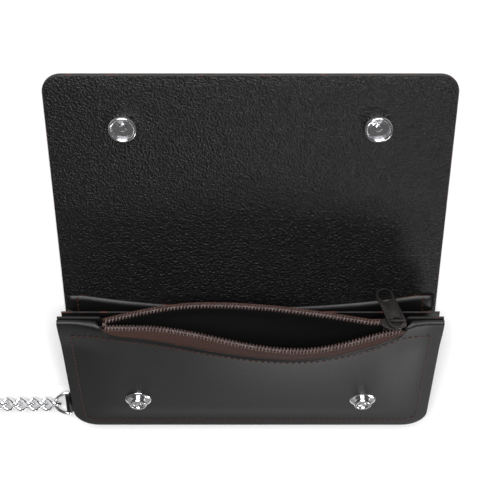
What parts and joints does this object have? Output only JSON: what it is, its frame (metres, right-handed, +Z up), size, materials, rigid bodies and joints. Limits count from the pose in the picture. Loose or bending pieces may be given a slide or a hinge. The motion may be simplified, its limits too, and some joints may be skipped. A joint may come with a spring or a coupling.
{
  "type": "long chain wallet",
  "caption": "Long leather wallet with a snap flap, a zip pocket on gusseted leaves and a metal chain ending in a swivel hook.",
  "frame": {"origin": "centre of the back panel's resting face", "axes": "+X along the folds to the right, +Y from the bottom edge towards the open flap, +Z up, out of the resting face"},
  "size_m": [0.2823, 0.1996, 0.0336],
  "materials": {
    "cover_leather": "satin, pebbled grain",
    "inner_leather": "satin, smooth grain",
    "snap_metal": "polished plate",
    "spring_steel": "drawn wire",
    "zip_tape": "woven, matt",
    "zip_coil": "satin nylon",
    "zip_slider_metal": "dark satin enamel",
    "chain_metal": "polished nickel plate"
  },
  "bodies": {
    "root": {"cover_back": "cover_leather", "rear_divider": "inner_leather", "chain_loop": "inner_leather", "gusset_lower_left": "inner_leather", "gusset_lower_right": "inner_leather"},
    "spine": {"cover_spine": "cover_leather"},
    "flap": {"cover_flap": "cover_leather", "snap_socket_left": "snap_metal", "snap_socket_right": "snap_metal", "snap_spring_left": "spring_steel", "snap_spring_right": "spring_steel", "snap_cap_left": "snap_metal", "snap_cap_right": "snap_metal"},
    "leaf": {"mid_divider": "inner_leather", "gusset_upper_left": "inner_leather", "gusset_upper_right": "inner_leather"},
    "pocket": {"pocket_back": "inner_leather", "pocket_front": "inner_leather", "tape_back": "zip_tape", "tape_front": "zip_tape", "coil_back": "zip_coil", "coil_front": "zip_coil", "zip_stop_left": "zip_coil", "zip_stop_right": "zip_coil", "stud_left": "snap_metal", "stud_right": "snap_metal", "stud_washer_left": "snap_metal", "stud_washer_right": "snap_metal"},
    "slider": {"zip_slider": "zip_slider_metal"},
    "tab": {"pull_tab": "zip_slider_metal"},
    "ring": {"d_ring": "chain_metal"},
    "chain_a": {"chain_near": "chain_metal"},
    "chain_b": {"chain_middle": "chain_metal"},
    "chain_c": {"chain_far": "chain_metal"},
    "eye": {"hook_eye": "chain_metal"},
    "hook": {"hook_body": "chain_metal", "hook_gate_pin": "chain_metal", "hook_gate_spring": "spring_steel"},
    "gate": {"hook_gate": "chain_metal"}
  },
  "joints": [
    {"name": "spine_fold", "type": "hinge", "parent": "root", "child": "spine", "pos_m": [0, 0.046, 0.002], "axis": [1, 0, 0], "range_deg": [0, 90]},
    {"name": "flap_fold", "type": "hinge", "parent": "spine", "child": "flap", "pos_m": [0, 0.061, 0.002], "axis": [1, 0, 0], "range_deg": [0, 93.7]},
    {"name": "leaf_swing", "type": "hinge", "parent": "root", "child": "leaf", "pos_m": [0, -0.0455, 0.0033], "axis": [1, 0, 0], "range_deg": [-7.51, 0], "deforming": ["gusset_lower_left", "gusset_lower_right"]},
    {"name": "pocket_swing", "type": "hinge", "parent": "leaf", "child": "pocket", "pos_m": [0, -0.046, 0.0046], "axis": [1, 0, 0], "range_deg": [-6.01, 0], "deforming": ["gusset_upper_left", "gusset_upper_right"]},
    {"name": "zip_slide", "type": "slide", "parent": "pocket", "child": "slider", "axis": [-1, 0, 0], "range_m": [0, 0.124]},
    {"name": "tab_turn", "type": "hinge", "parent": "slider", "child": "tab", "pos_m": [0.067, 0.03815, 0.02891], "axis": [0, 0.9724, 0.2334], "range_deg": [0, 73.1]},
    {"name": "ring_tilt", "type": "hinge", "parent": "root", "child": "ring", "pos_m": [-0.0922, -0.0354, 0.0026], "axis": [0, 1, 0], "range_deg": [-60, 75]},
    {"name": "chain_swing", "type": "hinge", "parent": "ring", "child": "chain_a", "pos_m": [-0.0992, -0.0354, 0.0032], "axis": [0, 0, 1], "range_deg": [-5, 5]},
    {"name": "chain_bend_near", "type": "hinge", "parent": "chain_a", "child": "chain_b", "pos_m": [-0.13105, -0.0354, 0.0032], "axis": [0, 0, 1], "range_deg": [-10, 10]},
    {"name": "chain_bend_far", "type": "hinge", "parent": "chain_b", "child": "chain_c", "pos_m": [-0.15094, 0.06369, 0.0032], "axis": [0, 0, 1], "range_deg": [-10, 10]},
    {"name": "eye_swing", "type": "hinge", "parent": "chain_c", "child": "eye", "pos_m": [-0.18412, -0.00891, 0.0032], "axis": [0, 0, 1], "range_deg": [-20, 20]},
    {"name": "hook_swivel", "type": "hinge", "parent": "eye", "child": "hook", "pos_m": [-0.18412, -0.01891, 0.0032], "axis": [0, -1, 0], "continuous": true},
    {"name": "gate_swing", "type": "hinge", "parent": "hook", "child": "gate", "pos_m": [-0.18842, -0.02531, 0.0032], "axis": [0, 0, 1], "range_deg": [0, 25], "stiffness_Nm_per_rad": 0.02, "springref_deg": -17.19}
  ],
  "couplings": [
    {"joint": "flap_fold", "follows": "spine_fold", "ratio": 1.04},
    {"joint": "leaf_swing", "follows": "spine_fold", "ratio": -0.083333},
    {"joint": "pocket_swing", "follows": "spine_fold", "ratio": -0.066667},
    {"joint": "tab_turn", "follows": "spine_fold", "ratio": 0.81111}
  ]
}
